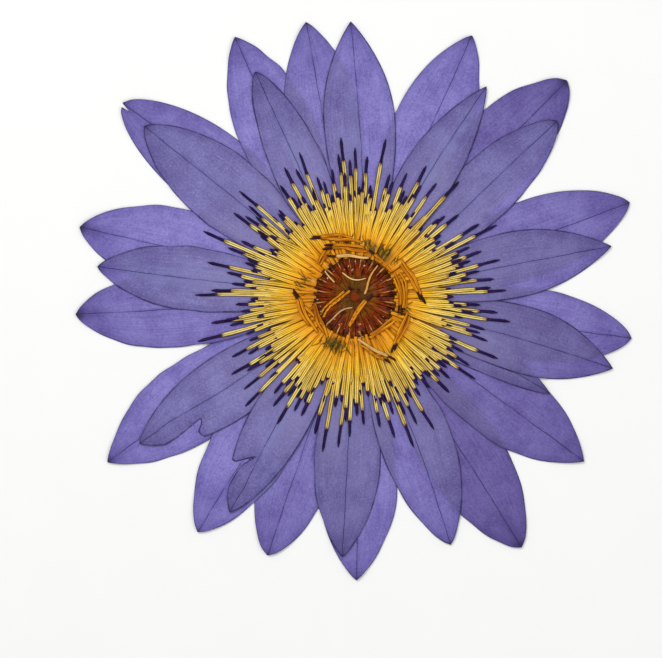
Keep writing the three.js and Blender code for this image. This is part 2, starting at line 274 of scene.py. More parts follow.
class Graph:
    """A material's node tree, built by short calls that each return an output socket."""

    def __init__(self, name, roughness=0.6, specular=0.3):
        self.material = bpy.data.materials.new(name)
        self.material.use_nodes = True
        self.tree = self.material.node_tree
        self.shader = self.tree.nodes["Principled BSDF"]
        self.shader.inputs["Roughness"].default_value = roughness
        self.shader.inputs["Specular IOR Level"].default_value = specular

    def put(self, socket, value):
        if isinstance(value, bpy.types.NodeSocket):
            self.tree.links.new(value, socket)
        elif isinstance(value, tuple) and len(value) == 3 and socket.type == "RGBA":
            socket.default_value = (*value, 1)
        else:
            socket.default_value = value

    def read(self, name):
        node = self.tree.nodes.new("ShaderNodeAttribute")
        node.attribute_name = name
        return node.outputs["Fac"]

    def math(self, kind, *values, clamp=False):
        node = self.tree.nodes.new("ShaderNodeMath")
        node.operation = kind
        node.use_clamp = clamp
        for socket, value in zip(node.inputs, values):
            self.put(socket, value)
        return node.outputs[0]

    def times(self, a, b):
        return self.math("MULTIPLY", a, b)

    def plus(self, a, b):
        return self.math("ADD", a, b)

    def minus(self, a, b):
        return self.math("SUBTRACT", a, b)

    def positive(self, value):
        return self.math("ABSOLUTE", value)

    def step(self, value, low_edge, high_edge, low_out=0.0, high_out=1.0):
        node = self.tree.nodes.new("ShaderNodeMapRange")
        node.interpolation_type = "SMOOTHSTEP"
        for name, x in zip(("Value", "From Min", "From Max", "To Min", "To Max"),
                           (value, low_edge, high_edge, low_out, high_out)):
            self.put(node.inputs[name], x)
        return node.outputs[0]

    def mix(self, factor, a, b, kind="MIX"):
        node = self.tree.nodes.new("ShaderNodeMix")
        node.data_type = "RGBA"
        node.blend_type = kind
        # the mix node's colour sockets are its seventh and eighth, and its third output
        for socket, value in zip((node.inputs[0], node.inputs[6], node.inputs[7]), (factor, a, b)):
            self.put(socket, value)
        return node.outputs[2]

    def darken(self, colour, amount, shade):
        """Multiplies a colour by shade (a grey level or a colour) to that amount."""
        shade = (shade,) * 3 if isinstance(shade, float) else shade
        return self.mix(amount, colour, shade, "MULTIPLY")

    def ramp(self, value, stops):
        node = self.tree.nodes.new("ShaderNodeValToRGB")
        elements = node.color_ramp.elements
        for i, (at, colour) in enumerate(stops):
            element = elements[i] if i < 2 else elements.new(at)
            element.position = at
            element.color = (*colour, 1)
        self.put(node.inputs[0], value)
        return node.outputs[0]

    def vector(self, x, y, z=0.0):
        node = self.tree.nodes.new("ShaderNodeCombineXYZ")
        for socket, value in zip(node.inputs, (x, y, z)):
            self.put(socket, value)
        return node.outputs[0]

    def noise(self, vector, scale, detail=3.0, rough=0.55):
        node = self.tree.nodes.new("ShaderNodeTexNoise")
        self.put(node.inputs["Vector"], vector)
        node.inputs["Scale"].default_value = scale
        node.inputs["Detail"].default_value = detail
        node.inputs["Roughness"].default_value = rough
        return node.outputs["Fac"]

    def place(self):
        return self.tree.nodes.new("ShaderNodeTexCoord").outputs["Object"]

    def finish(self, colour, height=None, strength=0.3, depth=0.0001, rough=None):
        self.put(self.shader.inputs["Base Color"], colour)
        if rough is not None:
            self.put(self.shader.inputs["Roughness"], rough)
        if height is not None:
            bump = self.tree.nodes.new("ShaderNodeBump")
            bump.inputs["Strength"].default_value = strength
            bump.inputs["Distance"].default_value = depth
            self.put(bump.inputs["Height"], height)
            self.put(self.shader.inputs["Normal"], bump.outputs[0])
        return self.material


# ------------------------------------------------------------------ petals and sepals

BLADE_ROWS = 100
BLADE_SIDE = 16
BLADE_THICKNESS = 0.13
EDGE_UNEVENNESS = 0.13
EDGE_CURL = 0.16
POINT_LIFT = 0.35
RIB_HEIGHT = 0.07
RIB_FURROW = 0.05
LAYING_GAP = 0.03
TEAR_REACH = 0.7
TORN_INWARD, TORN_OUTWARD = -25, 100  # turns of the outline, in degrees, past which a blade is torn

# a blade's colour over none, one and two other blades: the darker ones are painted shade for the lesser
# light coming through where more blades lie below
ONE_DEEP = srgb("8279bd")
TWO_DEEP = srgb("736da4")
THREE_DEEP = srgb("6c679f")

# how dusky each blade is, from 0 to 1; the others are 0
DUSK = {
    "sepal_1": 0.75, "sepal_2": 0.25, "sepal_4": 1.0, "petal_outer_1": 0.4, "petal_outer_3": 0.15,
    "petal_outer_6": 0.3, "petal_outer_8": 0.35, "petal_outer_9": 0.15, "petal_outer_10": 0.75,
    "petal_outer_11": 0.3, "petal_inner_1": 0.35, "petal_inner_2": 0.15, "petal_inner_3": 0.1,
    "petal_inner_10": 0.25, "petal_inner_11": 0.3, "petal_inner_12": 0.6, "petal_inner_13": 0.6,
}

# how far each blade's point is scorched, from 0 to 1; the others are 0.3
SCORCH = {"sepal_1": 1.0, "sepal_3": 0.7, "sepal_4": 0.8, "petal_outer_1": 0.5, "petal_outer_5": 1.0,
          "petal_outer_6": 1.0, "petal_outer_2": 0.5, "petal_outer_4": 0.5, "petal_inner_7": 0.6}


def blade_material(name, back, back_edge, streaked):
    g = Graph(name, roughness=0.62, specular=0.22)
    along, across = g.read("along"), g.read("across")
    offset, edge = g.read("offset_mm"), g.read("edge_mm")
    tip, from_middle = g.read("tip_mm"), g.read("radius_mm")
    under, side, kind = g.read("under"), g.read("side"), g.read("kind")
    seed, dusk, scorch = g.read("seed"), g.read("dusk"), g.read("scorch")

    # lengthwise fibres, spreading with the blade, and the grain of the skin
    fibres = g.noise(g.vector(g.times(across, 26.0), g.times(along, 2.6), seed), 1.0, 4.0)
    threads = g.noise(g.vector(g.times(across, 70.0), g.times(along, 5.0), seed), 1.0, 2.0)
    grain = g.noise(g.place(), 1900.0, 4.0, 0.75)
    blotch = g.noise(g.place(), 130.0, 3.0)
    cloud = g.noise(g.place(), 420.0, 3.0, 0.6)

    # painted shade: the face is darker where more blades lie below it
    face = g.ramp(g.math("MULTIPLY", under, 0.3333, clamp=True),
                  [(0.0, ONE_DEEP), (0.3333, TWO_DEEP), (0.75, THREE_DEEP)])
    face = g.darken(face, g.step(blotch, 0.40, 0.72), srgb("e6dfec"))
    face = g.mix(g.step(blotch, 0.30, 0.55, 0.16, 0.0), face, srgb("9a94d2"))
    face = g.darken(face, g.step(cloud, 0.40, 0.66, 0.0, 0.2), srgb("dcd8ea"))
    face = g.darken(face, g.step(fibres, 0.42, 0.66, 0.0, 0.34), srgb("dad6e8"))
    face = g.mix(g.step(fibres, 0.44, 0.28, 0.0, 0.12), face, srgb("918fcd"))
    face = g.darken(face, g.step(threads, 0.5, 0.66, 0.0, 0.4), srgb("c2bed8"))
    face = g.mix(g.step(grain, 0.52, 0.66, 0.0, 0.28), face, srgb("a39ddc"))
    face = g.darken(face, g.step(grain, 0.49, 0.34, 0.0, 0.5), srgb("b2aecd"))
    face = g.darken(face, dusk, srgb("cdc3d0"))
    pale = g.times(g.step(from_middle, 54.0, 34.0), g.step(under, 0.6, 1.6))
    face = g.mix(g.times(pale, g.step(blotch, 0.3, 0.6, 0.15, 0.45)), face, srgb("8c85b0"))
    # a painted sheen, greyer, down the middle of the blades that lie on others
    painted_sheen = g.times(g.step(g.positive(across), 0.5, 0.05), g.step(under, 0.6, 1.6))
    face = g.mix(g.times(painted_sheen, g.step(fibres, 0.35, 0.6, 0.1, 0.42)), face, srgb("7b7eb4"))
    # a darker, greyer outer third, and a dusky rim
    face = g.darken(face, g.step(along, 0.62, 1.0, 0.0, 0.42), srgb("c4bcd6"))
    face = g.darken(face, g.step(edge, 2.6, 0.2, 0.0, 0.30), srgb("b4acd0"))
    uneven = g.step(g.noise(g.place(), 210.0, 2.0), 0.35, 0.65, 0.45, 1.0)
    line = g.times(g.step(edge, 0.40, 0.12), g.plus(0.5, g.times(kind, 0.45)))
    face = g.darken(face, g.times(line, uneven), srgb("56507e"))
    # the midrib, a fine dark line with a pale flank
    wander = g.times(g.minus(g.noise(g.vector(seed, g.times(along, 9.0)), 1.0, 2.0), 0.5), 0.5)
    rib = g.positive(g.plus(offset, wander))
    faded = g.step(g.noise(g.vector(g.times(along, 14.0), seed), 1.0, 2.0), 0.30, 0.55, 0.35, 0.95)
    face = g.darken(face, g.times(g.step(rib, 0.15, 0.05), faded), srgb("6c6892"))
    face = g.darken(face, g.step(rib, 0.9, 0.2, 0.0, 0.14), srgb("aaa4c8"))
    # the dark, slightly scorched point
    smudge = g.times(g.step(g.positive(offset), 3.0, 0.3), g.step(tip, 12.0, 2.5))
    face = g.darken(face, g.times(smudge, g.times(scorch, 0.5)), srgb("8d80ae"))
    singed = g.plus(tip, g.times(g.minus(cloud, 0.5), 2.5))
    face = g.mix(g.times(g.step(singed, 3.0, 0.2), scorch), face, srgb("2a1f48"))
    face = g.mix(g.step(tip, 1.2, 0.2, 0.0, 0.7), face, srgb("2f2552"))
    # the claw under the stamens: its own golden colour near the middle, darkening outwards to brown as
    # painted shade between the stamens
    claw_and_shade = g.ramp(g.step(from_middle, 14.0, 30.0),
                  [(0.0, srgb("b8780c")), (0.5, srgb("8a5510")), (1.0, srgb("4a3420"))])
    face = g.mix(g.step(from_middle, 27.5, 21.0, 0.0, 0.92), face, claw_and_shade)

    # the underside: paler, with the fibres standing out
    rear = g.mix(g.step(g.positive(across), 0.30, 0.95), back, back_edge)
    rear = g.darken(rear, g.step(fibres, 0.42, 0.66, 0.0, 0.8), srgb("b9bca2"))
    rear = g.darken(rear, g.step(threads, 0.50, 0.68, 0.0, 0.6), srgb("b0ae9c"))
    dashes = g.noise(g.vector(g.times(across, 34.0), g.times(along, 11.0), seed), 1.0, 1.0)
    rear = g.darken(rear, g.times(g.step(dashes, 0.60, 0.66), streaked), srgb("6a4a5e"))
    rear = g.darken(rear, g.step(edge, 0.5, 0.15, 0.0, 0.7), srgb("6a6488"))
    rear = g.mix(g.step(rib, 0.45, 0.12, 0.0, 0.55), rear, srgb("c3c3a8"))
    rear = g.mix(g.step(from_middle, 24.0, 13.0, 0.0, 0.8), rear, srgb("b9b487"))

    colour = g.mix(side, rear, face)
    height = g.plus(g.times(fibres, 0.7), g.times(grain, 0.3))
    height = g.minus(height, g.times(g.step(rib, 0.3, 0.08), 0.6))
    rough = g.step(fibres, 0.3, 0.7, 0.52, 0.72)
    return g.finish(colour, height, strength=0.45, depth=0.00012, rough=rough)


PETAL = blade_material("petal_skin", srgb("a9a3d0"), srgb("8f87c0"), 0.15)
SEPAL = blade_material("sepal_skin", srgb("7f8a52"), srgb("7a6a86"), 0.85)

heap = Heap()


def crossings(ring, share):
    """Where the line across a blade at that share of its length meets its outline."""
    s, t = ring[:, 0], ring[:, 1]
    s2, t2 = np.roll(s, -1), np.roll(t, -1)
    hit = (s - share) * (s2 - share) < 0
    return t[hit] + (t2[hit] - t[hit]) * (share - s[hit]) / (s2[hit] - s[hit])


def blade(name, kind, slot, material, number):
    loop, top = outline(name)
    ring = smooth_ring(loop)
    far = np.hypot(*(loop - MIDDLE).T)
    root = loop[np.argsort(far)[:2]].mean(0)
    point = loop[np.argmax(far)]
    axis = point - root
    length = np.hypot(*axis)
    axis = axis / length
    aside = np.array([-axis[1], axis[0]])
    flat = np.stack([(ring - root) @ axis / length, (ring - root) @ aside], 1)

    # edges and midrib of the blade, row by row
    share = 1 - (1 - np.linspace(0, 1, BLADE_ROWS)) ** 1.5
    share = 0.002 + 0.9965 * share
    left, right = [], []
    for s in share:
        t = crossings(flat, s)
        left.append(t.max() if len(t) else 0.02)
        right.append(t.min() if len(t) else -0.02)
    left, right = np.array(left), np.array(right)
    rib = np.polyval(np.polyfit(share, (left + right) / 2, 4, w=(left - right)), share)
    rib = rib * smoothstep(1.0, 0.8, share) + (left + right) / 2 * (1 - smoothstep(1.0, 0.8, share))
    rib = np.clip(rib, right + 0.25 * (left - right), left - 0.25 * (left - right))

    # pressed edges are a little uneven, except where a tear sets them
    turns = turn_at(loop)
    torn = turns.max() > TORN_OUTWARD or turns.min() < TORN_INWARD
    if not torn:
        fade = EDGE_UNEVENNESS * smoothstep(0, 0.15, share) * smoothstep(1.0, 0.9, share)
        left = left + fade * waves(share * length, share, number + 200, 9)
        right = right + fade * waves(share * length, share, number + 300, 9)

    # plan positions, and how far across each point is
    columns = np.linspace(-1, 1, 2 * BLADE_SIDE + 1)
    across = np.repeat(columns[None], BLADE_ROWS, 0)
    width = np.where(across < 0, (rib - right)[:, None], (left - rib)[:, None])
    offset = across * width
    along = np.repeat(share[:, None], len(columns), 1)
    plan = (root + along[..., None] * length * axis + (rib[:, None] + offset)[..., None] * aside)
    xy = plan.reshape(-1, 2)
    rows, cols = across.shape
    n = rows * cols
    grid = np.arange(n).reshape(rows, cols)
    keep = np.ones((rows - 1, cols - 1), bool)
    if torn:
        keep = within(ring, (plan[:-1, :-1] + plan[1:, 1:] + plan[1:, :-1] + plan[:-1, 1:]) / 4)
        beside = np.zeros((rows, cols), int)
        for i, j in ((0, 0), (0, 1), (1, 0), (1, 1)):
            beside[i:rows - 1 + i, j:cols - 1 + j] += keep
        rim = (beside > 0) & (beside < 4)
        rim[1:-1, [0, -1]] &= beside[1:-1, [0, -1]] < 2
        rim = rim.ravel()
        far_off, nearest = nearest_on(ring, xy[rim])
        xy[rim] = np.where(far_off[:, None] < TEAR_REACH, nearest, xy[rim])

    # heights: lies on what is below, stands a little proud at its edges and its point
    radius = np.hypot(*(xy - MIDDLE).T)
    bed = np.maximum(heap.read(heap.support(), xy), (top - 0.22) * smoothstep(44, 13, radius))
    edge = nearest_on(ring, xy)[0]
    flat_along, flat_across = along.ravel(), across.ravel()
    rise = 0.045 * (1 + waves(xy[:, 0], xy[:, 1], number, 17))
    rise = rise + EDGE_CURL * flat_across ** 4 * (0.6 + 0.4 * waves(xy[:, 0], xy[:, 1], number + 90, 12))
    rise = rise + POINT_LIFT * smoothstep(0.86, 1.0, flat_along)
    rise = rise + 0.035 * (np.abs(np.sin(flat_across * 9 + 0.6)) ** 3) * smoothstep(0, 3, edge)
    rise = np.maximum(rise, 0.0)
    thick = BLADE_THICKNESS * (0.45 + 0.55 * smoothstep(0, 2.5, edge))
    thick = thick + RIB_HEIGHT * np.exp(-(offset.ravel() / 0.55) ** 2) * smoothstep(1.0, 0.5, flat_along)
    base = bed + rise + LAYING_GAP
    lower = np.column_stack([xy, base])
    upper = np.column_stack([xy, base + thick])
    # the faint furrow over the midrib
    upper[:, 2] -= RIB_FURROW * np.exp(-(offset.ravel() / 0.25) ** 2)

    # what lies under each point, seen through the thin blade; it paints the face darker where more blades
    # lie below, as painted shade
    depth = heap.read(heap.soften(heap.depth, 1), xy)

    faces = []
    border = {}
    for i in range(rows - 1):
        for j in range(cols - 1):
            if not keep[i, j]:
                continue
            quad = [int(grid[i, j]), int(grid[i + 1, j]), int(grid[i + 1, j + 1]), int(grid[i, j + 1])]
            faces.append(quad[::-1])
            faces.append([v + n for v in quad])
            for a, b in zip(quad, quad[1:] + quad[:1]):
                if (b, a) in border:
                    del border[(b, a)]
                else:
                    border[(a, b)] = True
    points = np.vstack([lower, upper])
    # the narrow face round the blade's edge
    for a, b in border:
        faces.append([a, b, b + n, a + n])
    twice = lambda values: np.concatenate([values, values])
    side = np.concatenate([np.zeros(n), np.ones(n)])
    attributes = {
        "along": twice(flat_along), "across": twice(flat_across), "offset_mm": twice(offset.ravel()),
        "edge_mm": twice(edge), "tip_mm": twice(np.hypot(*(xy - point).T)),
        "radius_mm": twice(radius), "under": twice(depth), "side": side,
        "kind": np.full(2 * n, kind), "seed": np.full(2 * n, number * 7.3),
        "dusk": np.full(2 * n, DUSK.get(name, 0.0)), "scorch": np.full(2 * n, SCORCH.get(name, 0.3)),
    }
    piece(name + "_blade", points, faces, attributes, material, slot, name)
    level = upper[:, 2]

    def height_at(places):
        # height of the blade's top at plan points, from its nearest grid point along and across
        rel = places - root
        s = np.clip(rel @ axis / length, 0.002, 0.998)
        row = np.clip(np.searchsorted(share, s), 0, rows - 1)
        t = rel @ aside - rib[row]
        w = np.where(t < 0, (rib - right)[row], (left - rib)[row])
        col = np.clip(np.round((np.clip(t / np.maximum(w, 1e-3), -1, 1) + 1) * BLADE_SIDE), 0, cols - 1)
        return level[row * cols + col.astype(int)]

    heap.lay(ring, height_at)


blades = []
for name in NODES:
    if name.startswith(("sepal", "petal")):
        blades.append((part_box(name)[0].z, name))
blades.sort()
for number, (_, name) in enumerate(blades):
    is_sepal = name.startswith("sepal")
    slot = "sepal" if is_sepal else name.rsplit("_", 1)[0]
    kind = 1.0 if slot == "petal_inner" else 0.0
    blade(name, kind, slot, SEPAL if is_sepal else PETAL, number)

# ------------------------------------------------------------------ stamens

STRAP_STEPS = 22
STRAP_THICKNESS = 0.42
FOLDED_THICKNESS = 0.32
STRAP_SECTION = [(-1.0, 0.25), (-0.86, 0.75), (-0.55, 1.0), (-0.25, 0.86), (0.0, 0.5), (0.25, 0.86),
                 (0.55, 1.0), (0.86, 0.75), (1.0, 0.25), (0.7, 0.0), (0.0, 0.0), (-0.7, 0.0)]


def stamen_material():
    g = Graph("stamen_skin", roughness=0.5, specular=0.07)
    u, v, radius = g.read("along"), g.read("across"), g.read("radius_mm")
    seed, shade = g.read("seed"), g.read("shade")
    folded, mossy, pale = g.read("folded"), g.read("moss"), g.read("pale")
    streak = g.noise(g.vector(g.times(v, 2.2), g.times(radius, 0.22), seed), 1.0, 4.0, 0.65)
    fleck = g.noise(g.vector(g.times(v, 1.1), g.times(radius, 1.3), seed), 1.0, 3.0)
    colour = g.ramp(g.step(radius, 11.0, 36.0), [
        (0.0, srgb("e2920e")), (0.08, srgb("f8ae14")), (0.28, srgb("ffcf34")),
        (0.5, srgb("f6d45c")), (1.0, srgb("e4d67c"))])
    golden = g.mix(g.step(fleck, 0.4, 0.62), srgb("eb9c10"), srgb("b9690a"))
    colour = g.mix(folded, colour, g.mix(pale, golden, srgb("f0d894")))
    inner = g.times(g.step(radius, 14.5, 22.0, 0.35, 1.0), g.step(folded, 0.0, 1.0, 1.0, 0.15))
    colour = g.mix(g.times(g.step(streak, 0.50, 0.70, 0.0, 0.7), inner), colour, srgb("feeaac"))
    colour = g.darken(colour, g.times(g.step(streak, 0.46, 0.30, 0.0, 0.8), inner), srgb("b07c20"))
    colour = g.darken(colour, g.step(fleck, 0.5, 0.75, 0.0, 0.3), srgb("c9963c"))
    # dark brown sides of each strap, stronger further out: partly the stamen's own dark margin, partly
    # painted shade between neighbouring stamens
    edge = g.positive(v)
    outer = g.step(radius, 12.0, 24.0, 0.2, 0.92)
    outer = g.math("MAXIMUM", g.times(outer, g.minus(1.0, folded)), g.times(folded, 0.7))
    colour = g.darken(colour, g.times(g.step(edge, 0.50, 0.86), outer), srgb("4a2408"))
    # darker down the groove between the anther's lobes: painted shade in the furrow
    furrow_shade = g.times(g.step(edge, 0.26, 0.05), g.times(outer, g.step(folded, 0.0, 1.0, 0.9, 0.4)))
    colour = g.darken(colour, furrow_shade, srgb("704414"))
    colour = g.darken(colour, shade, srgb("a86a1c"))
    # the violet appendage at the end, with a brown band where it starts
    ragged = g.plus(u, g.times(g.minus(fleck, 0.5), 0.12))
    colour = g.mix(g.step(ragged, 0.93, 1.0, 0.0, 0.7), colour, srgb("6a4326"))
    violet = g.mix(g.step(streak, 0.45, 0.65), srgb("190c33"), srgb("33205a"))
    violet = g.mix(folded, violet, g.mix(g.step(streak, 0.45, 0.65), srgb("290f12"), srgb("562a18")))
    colour = g.mix(g.step(ragged, 0.985, 1.03), colour, violet)
    tuft = g.mix(g.step(fleck, 0.35, 0.65), srgb("2a2c1c"), srgb("6a5c1e"))
    colour = g.mix(g.step(mossy, 0.15, 0.85), colour, tuft)
    height = g.plus(streak, g.times(fleck, 0.4))
    return g.finish(colour, height, strength=0.4, depth=0.0001)


STAMEN = stamen_material()


# directions, in degrees round the pistil, of the dark greenish tufts among the stamen roots
TUFTS = ((52, 1.0), (70, 0.9), (98, 0.6), (161, 0.6), (243, 0.9), (256, 0.6), (345, 0.45))


def moss(points):
    """How dark and greenish the stamens are at plan points, from 0 to 1."""
    rel = points[:, :2] - MIDDLE
    angle = np.degrees(np.arctan2(rel[:, 1], rel[:, 0])) % 360
    radius = np.hypot(*rel.T)
    total = np.zeros(len(points))
    for at, strength in TUFTS:
        away = (angle - at + 180) % 360 - 180
        total += strength * np.exp(-(away / 8.0) ** 2)
    return 0.62 * np.clip(total, 0, 1) * smoothstep(11.2, 12.0, radius) * smoothstep(17.5, 14.0, radius)


def strap(line, half_widths, thick, appendage, seed, shade, tilt=0.0, in_fold=0.0, pale=0.0):
    """One stamen along a line of 3-D points in mm: points, faces and attributes."""
    n, m = len(line), len(STRAP_SECTION)
    run = np.concatenate([[0], np.cumsum(np.linalg.norm(np.diff(line, axis=0), axis=1))])
    tangent = np.gradient(line, axis=0)
    tangent /= np.linalg.norm(tangent, axis=1)[:, None]
    aside = np.cross([0, 0, 1.0], tangent)
    aside /= np.linalg.norm(aside, axis=1)[:, None]
    up = np.cross(tangent, aside)
    roll = tilt * np.sin(np.linspace(0, 3, n))
    aside, up = (aside * np.cos(roll)[:, None] + up * np.sin(roll)[:, None],
                 up * np.cos(roll)[:, None] - aside * np.sin(roll)[:, None])
    start = run[-1] - appendage
    along = np.where(run < start, run / start, 1 + (run - start) / appendage)
    points, u, v = [], [], []
    for k in range(n):
        # the lobes stand up along the anther, and the appendage is a plain rounded strap
        lobes = smoothstep(0.25, 0.6, along[k]) * smoothstep(1.08, 0.98, along[k])
        for x, z in STRAP_SECTION:
            plain = math.sqrt(max(0.0, 1 - x * x)) * 0.8 + 0.2 if z > 0 else 0.0
            z = z * lobes + plain * (1 - lobes)
            points.append(line[k] + aside[k] * x * half_widths[k] + up[k] * z * thick)
            u.append(along[k])
            v.append(x)
    faces = []
    for k in range(n - 1):
        for j in range(m):
            a, b = k * m + j, k * m + (j + 1) % m
            faces.append([a, a + m, b + m, b])
    faces.append(list(range(m)))
    faces.append([(n - 1) * m + j for j in reversed(range(m))])
    points = np.array(points)
    radius = np.hypot(*(points[:, :2] - MIDDLE).T)
    return points, faces, {
        "along": np.array(u), "across": np.array(v), "radius_mm": radius,
        "seed": np.full(len(points), seed), "shade": np.full(len(points), shade),
        "folded": np.full(len(points), in_fold), "pale": np.full(len(points), pale),
        "moss": moss(points) * (1 - in_fold)}


def join(straps):
    """Several stamens as one mesh."""
    points, faces, attributes, start = [], [], {}, 0
    for own_points, own_faces, own in straps:
        points.append(own_points)
        faces += [[v + start for v in face] for face in own_faces]
        for key, values in own.items():
            attributes.setdefault(key, []).append(values)
        start += len(own_points)
    return np.vstack(points), faces, {key: np.concatenate(values) for key, values in attributes.items()}


def strap_widths(length, full, appendage, rng):
    """Half widths along a stamen: a narrow root, a broad strap, a waist, and a blunt end."""
    x = np.linspace(0, 1, STRAP_STEPS) ** 0.9
    run = x * length
    start = length - appendage
    width = full * (0.72 + 0.28 * smoothstep(0, 0.45 * start, run))
    width = width * (1 - 0.30 * smoothstep(start - 0.4, start + 0.25, run))
    width = width * (1 + 0.06 * np.sin(run * rng.uniform(0.5, 0.9) + rng.uniform(0, 6)))
    end = (run - (length - 0.8)) / 0.8
    return run, width * np.sqrt(np.clip(1 - np.clip(end, 0, 1) ** 2.2, 0.05, 1)) / 2


SHORTEST_REACH = 20  # mm from the middle to the nearest tip of a standing stamen
STEEPEST_LEAN = 14  # degrees off the radius


def tips(node):
    """Tip and direction of each stamen in a fan."""
    points, edges, _ = top_face(node)
    near = {}
    for a, b in edges:
        near.setdefault(a, []).append(b)
        near.setdefault(b, []).append(a)
    radius = np.hypot(*(points - MIDDLE).T)
    found = []
    for i, others in near.items():
        if radius[i] < SHORTEST_REACH or len(others) != 2 or any(radius[o] >= radius[i] for o in others):
            continue
        radial = (points[i] - MIDDLE) / radius[i]
        back = points[i] - points[others].mean(0)
        back = back / np.hypot(*back)
        lean = abs(math.degrees(math.acos(min(1.0, float(back @ radial)))))
        found.append((points[i], back if lean < STEEPEST_LEAN else radial))
    found.sort(key=lambda f: math.atan2(*(f[0] - MIDDLE)[::-1]))
    return found


def appendage_length(reach):
    return float(np.clip(1 + (reach - 24) * 0.27, 1.0, 6.0))


ROOT_RING = 11.05
STRAP_WIDTH = 1.12


def stamen(tip, direction, z_root, rng, seed, support, root_ring=ROOT_RING):
    reach = np.hypot(*(tip - MIDDLE))
    # back along the stamen's own direction to the ring that it grows from
    rel = tip - MIDDLE
    along = float(rel @ direction)
    off = math.sqrt(max(0.0, reach ** 2 - along ** 2))
    run_back = along - math.sqrt(max(1.0, root_ring ** 2 - min(off, 10.0) ** 2))
    root = tip - direction * run_back
    length = np.hypot(*(tip - root))
    appendage = appendage_length(reach) * rng.uniform(0.92, 1.08)
    run, half = strap_widths(length, STRAP_WIDTH * rng.uniform(0.9, 1.1), appendage, rng)
    x = run / length
    aside = np.array([-direction[1], direction[0]])
    bow = rng.uniform(-0.35, 0.35) * np.sin(np.pi * x)
    bow = bow + 0.12 * np.sin(2 * np.pi * x * rng.uniform(0.8, 1.4) + seed)
    bow = bow * smoothstep(1.0, 0.8, x)
    plan = root + run[:, None] * direction + bow[:, None] * aside
    floor = heap.read(support, plan)
    high = z_root * smoothstep(0.85, 0.0, x) + rng.uniform(0.0, 0.25) * np.sin(np.pi * x)
    z = np.maximum(floor + 0.05, high)
    line = np.column_stack([plan, z])
    shade = rng.choice([0.0, 0.0, 0.08, 0.15, 0.28])
    thick = STRAP_THICKNESS * rng.uniform(0.85, 1.15)
    return strap(line, half, thick, appendage, seed, shade, rng.uniform(-0.25, 0.25)), line


SHORT_STAMENS = 132


def short_stamens():
    """The short, hidden stamens low in the ring, which close the gaps between the long ones."""
    rng = random.Random("short")
    support = heap.support()
    made = []
    for k in range(SHORT_STAMENS):
        angle = 2 * math.pi * (k + rng.uniform(-0.3, 0.3)) / SHORT_STAMENS
        direction = np.array([math.cos(angle), math.sin(angle)])
        tip = MIDDLE + direction * rng.uniform(23.0, 31.5)
        one, _ = stamen(tip, direction, rng.uniform(1.5, 2.3), rng, 900 + k * 2.3, support)
        one[2]["shade"][:] = rng.uniform(0.0, 0.35)
        # they end in a plain yellow point
        one[2]["along"] *= 0.9
        made.append(one)
    return made


hidden = short_stamens()


HAIRS_PER_TUFT = 26
HAIR_THICKNESS = 0.12


def tuft_hairs(lines):
    """Short dark hairs that lie over the stamen roots in the tufts."""
    rng = random.Random("hairs")
    for line in lines:
        heap.lay_strap(line, STRAP_THICKNESS)
    cover = heap.spread(heap.height, 1)
    made = []
    for at, strength in TUFTS:
        for _ in range(round(HAIRS_PER_TUFT * strength)):
            angle = math.radians(at + rng.gauss(0, 8.0))
            lean = angle + rng.gauss(0, 0.5)
            start = MIDDLE + rng.uniform(11.6, 14.6) * np.array([math.cos(angle), math.sin(angle)])
            length = rng.uniform(1.2, 3.4)
            run, half = (values[::3] for values in strap_widths(length, rng.uniform(0.12, 0.22), 0.3, rng))
            ahead = np.array([math.cos(lean), math.sin(lean)])
            aside = np.array([-math.sin(lean), math.cos(lean)])
            plan = start + run[:, None] * ahead
            plan = plan + 0.25 * np.sin(run * rng.uniform(0.8, 1.6))[:, None] * aside
            z = heap.read(cover, plan) + rng.uniform(0.0, 0.15)
            z[1:-1] = (z[:-2] + z[1:-1] + z[2:]) / 3
            one = strap(np.column_stack([plan, z]), half, HAIR_THICKNESS, 0.3, rng.uniform(0, 99), 0.0)
            one[2]["moss"][:] = rng.uniform(0.75, 1.0)
            made.append(one)
    return made


# the three whorls, from the outermost in, and the height in mm of their roots
WHORLS = (("stamens_outer", 1.5), ("stamens_middle", 1.95), ("stamens_inner", 2.4))

seed = 0
for whorl, z_root in WHORLS:
    rng = random.Random(whorl)
    support = heap.soften(heap.spread(heap.height, 1), 2)
    tops = []
    for node in sorted(n for n in NODES if n.startswith(whorl)):
        made = []
        for tip, direction in tips(node):
            seed += 1
            # some of the innermost lap over the rim of the disc
            lap = rng.uniform(0.0, 0.9) if whorl == "stamens_inner" else 0.0
            root_z = z_root + rng.uniform(-0.15, 0.15) + 0.35 * lap
            one, line = stamen(tip, direction, root_z, rng, seed * 3.7, support, ROOT_RING - lap)
            made.append(one)
            tops.append(line)
        if whorl == "stamens_inner":
            made += hidden + tuft_hairs(tops)
        points, faces, attributes = join(made)
        piece(node + "_straps", points, faces, attributes, STAMEN, "stamen", node)
    for line in tops:
        heap.lay_strap(line, STRAP_THICKNESS)


# ------------------------------------------------------------------ pistil

CARPELS = 20

# the scalloped rim, the dish inside it and the knob in the middle: radius and height in mm
RIM_RADIUS = 10.85
DISC_PROFILE = (
    (RIM_RADIUS, 2.3), (10.6, 2.5), (10.2, 2.62), (9.7, 2.64), (9.1, 2.56), (8.4, 2.45), (7.6, 2.34),
    (6.8, 2.24), (6.0, 2.16), (5.2, 2.1), (4.4, 2.06), (3.6, 2.03), (2.9, 2.01), (2.3, 2.0),
    (1.7, 2.02), (1.4, 2.1), (1.3, 2.28), (1.1, 2.42), (0.8, 2.48), (0.5, 2.5), (0.1, 2.51))
# the stem's scar on the underside: its rings of radius, and its six air channels
SCAR_RINGS = (0.05, 0.6, 1.0, 1.25, 1.5, 1.8, 2.1, 2.35, 2.6, 3.0, 3.4, 3.7, 4.0, 4.3, 5.5, 7.0, 8.6, 10.0)
AIR_CHANNELS = 6


